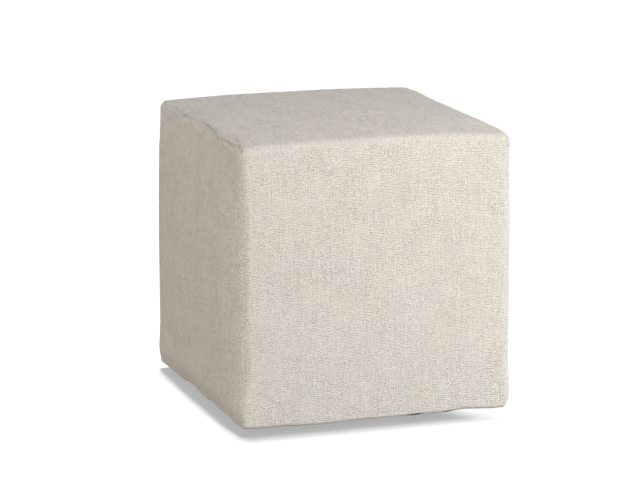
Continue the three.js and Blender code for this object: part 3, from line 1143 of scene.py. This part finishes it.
studio_floor, paper = new_material("studio_floor")
to_right = paper.node(
    "ShaderNodeSeparateXYZ", None, {"Vector": paper.node("ShaderNodeTexCoord").output("Object")}
)
to_back = to_right.output("Y")
# painted light: a white patch, set by place, that covers the floor's shadow at the right of the
# front
painted_light_patch = paper.ramp(to_right + clear_slant * (to_back + half_depth), clear_from, clear_to)
painted_light_patch = painted_light_patch * (1 - paper.ramp(to_back, 0.0, clear_depth))
matt = paper.node("ShaderNodeBsdfDiffuse", None, {"Color": floor_grey})
glow = paper.node("ShaderNodeEmission", None, {"Color": white, "Strength": floor_glow})
lit = paper.node("ShaderNodeAddShader", None, {0: matt, 1: glow})
# the painted white light itself
painted_white_light = paper.node("ShaderNodeEmission", None, {"Color": white, "Strength": 1.0})
shown_floor = paper.node("ShaderNodeMixShader", None, {0: painted_light_patch, 1: lit, 2: painted_white_light})
dull = paper.node("ShaderNodeBsdfDiffuse", None, {"Color": floor_dark})
seen = paper.node("ShaderNodeLightPath").output("Is Camera Ray")
either = paper.node("ShaderNodeMixShader", None, {0: seen, 1: dull, 2: shown_floor})
paper.node("ShaderNodeOutputMaterial", None, {"Surface": either})

# %% The floor itself
floor_half = 6.0

corners = np.array([[-1, -1, 0], [1, -1, 0], [1, 1, 0], [-1, 1, 0]]) * floor_half
floor = show("floor", make_mesh("floor", corners, np.array([[0, 1, 2, 3]])))
floor.data.materials.append(studio_floor)
print(f"the floor is {2 * floor_half:.0f} m square")

# %% [markdown]
# ## The lamps
# Five large soft lamps light only the ottoman. One in front models the front, a higher one to
# the right brightens that end of it, and a warmer, weaker one gives the left side its tone. A
# low, near one stands in for light off the floor, and the last keeps the back from going dark.


# %% Placing lamps and aiming them
def aimed(place, target):
    """The rotation that points a lamp or a camera from a place at a target."""
    return (Vector(target) - Vector(place)).to_track_quat("-Z", "Y").to_euler()


def around(azimuth, elevation, distance):
    """A place seen from the ottoman's middle: azimuth 0 is in front, positive to the right."""
    turned, raised = math.radians(azimuth), math.radians(elevation)
    level = math.cos(raised)
    offset = (math.sin(turned) * level, -math.cos(turned) * level, math.sin(raised))
    return middle + distance * Vector(offset)


def soft_lamp(name, place, size, power, colour=(1, 1, 1)):
    """A square lamp that points at the ottoman's middle."""
    data = bpy.data.lights.new(name, "AREA")
    data.shape = "RECTANGLE"
    data.size, data.size_y = size, size
    data.energy = power
    data.color = colour
    made = show(name, data)
    made.location = place
    made.rotation_euler = aimed(place, middle)
    return made


# %% The lamps of the ottoman
# name, place, size, watts and colour
lamps = [
    soft_lamp("bounce", around(52, -24, 1.0), 0.8, 7.3),
    soft_lamp("front_lamp", around(-15, 8, 2.8), 1.6, 30.3, (1.0, 0.98, 0.94)),
    soft_lamp("high_lamp", around(38, 37, 1.75), 1.0, 13.2),
    soft_lamp("left_lamp", around(-95, 5, 2.8), 1.6, 22.2, (1.0, 0.91, 0.77)),
    soft_lamp("back_lamp", around(165, 0, 2.8), 1.8, 18),
]
print(f"{len(lamps)} lamps, {sum(each.data.energy for each in lamps):.0f} W in all")

# %% [markdown]
# Two suns almost overhead, both a little behind and to the right, light only the floor. Each
# leaves a soft shadow in front and on the left, and together they give it two steps.

# %% The suns of the floor
lean_right = 0.013
sun_power = 1.25 * math.pi
sun_width = 4.5

suns = []
for number_of_sun, lean_back in enumerate((0.031, 0.081)):
    sun = bpy.data.lights.new(f"overhead_{number_of_sun}", "SUN")
    sun.energy = sun_power
    sun.angle = math.radians(sun_width)
    suns.append(show(sun.name, sun))
    suns[-1].rotation_euler = aimed((lean_right, lean_back, 1), (0, 0, 0))
print(f"{len(suns)} suns")

# %% Which lamp lights what
only_floor = bpy.data.collections.new("only_floor")
only_floor.objects.link(floor)
only_ottoman = bpy.data.collections.new("only_ottoman")
for piece in (body, dust_cover, *panels.values(), *glides.values()):
    only_ottoman.objects.link(piece)
for sun in suns:
    sun.light_linking.receiver_collection = only_floor
for lamp in lamps:
    lamp.light_linking.receiver_collection = only_ottoman
    lamp.light_linking.blocker_collection = only_ottoman

# %% [markdown]
# ## The world
# An even sky fills in from all sides. To the camera, and in reflections and glass, it is white.

# %% The sky
sky_tint = (0.98, 0.98, 1.0, 1)
sky_strength = 0.45

world = bpy.data.worlds.new("studio")
world.use_nodes = True
bpy.context.scene.world = world
sky = Finish(world.node_tree)
ray = sky.node("ShaderNodeLightPath")
seen_white = ray.output("Is Camera Ray") + ray.output("Is Glossy Ray")
seen_white = (seen_white + ray.output("Is Transmission Ray")).math("MINIMUM", 1.0)
fill = sky.node("ShaderNodeBackground", None, {"Color": sky_tint, "Strength": sky_strength})
backdrop = sky.node("ShaderNodeBackground", None, {"Color": white, "Strength": 1.0})
mixed = sky.node("ShaderNodeMixShader", None, {0: seen_white, 1: fill, 2: backdrop})
sky.node("ShaderNodeOutputWorld", None, {"Surface": mixed})
print(f"the sky has {len(sky.tree.nodes)} nodes")

# %% [markdown]
# ## The camera
# A long lens from across the room, a little above the ottoman and to its left, so that the
# cube's edges stay nearly parallel. It is moved a little to one side and up, without turning.

# %% Camera and colour
camera_azimuth = -18.99
camera_elevation = 11.94
camera_distance = 4.644
moved_right, moved_up = -0.0153, 0.0146

camera_data = bpy.data.cameras.new("camera")
camera_data.lens = 160.5
camera_data.sensor_width = 36
camera_data.clip_start = 0.1
camera_data.clip_end = 50
camera = show("camera", camera_data)
back = (around(camera_azimuth, camera_elevation, 1) - middle).normalized()
turned_by = math.radians(camera_azimuth)
right = Vector((math.cos(turned_by), math.sin(turned_by), 0))
upward = back.cross(right)
camera.location = middle + back * camera_distance + right * moved_right + upward * moved_up
camera.rotation_euler = aimed(camera.location, camera.location - back)
bpy.context.scene.camera = camera
bpy.context.scene.view_settings.view_transform = "Standard"
print("camera at", camera.location.to_tuple(3))
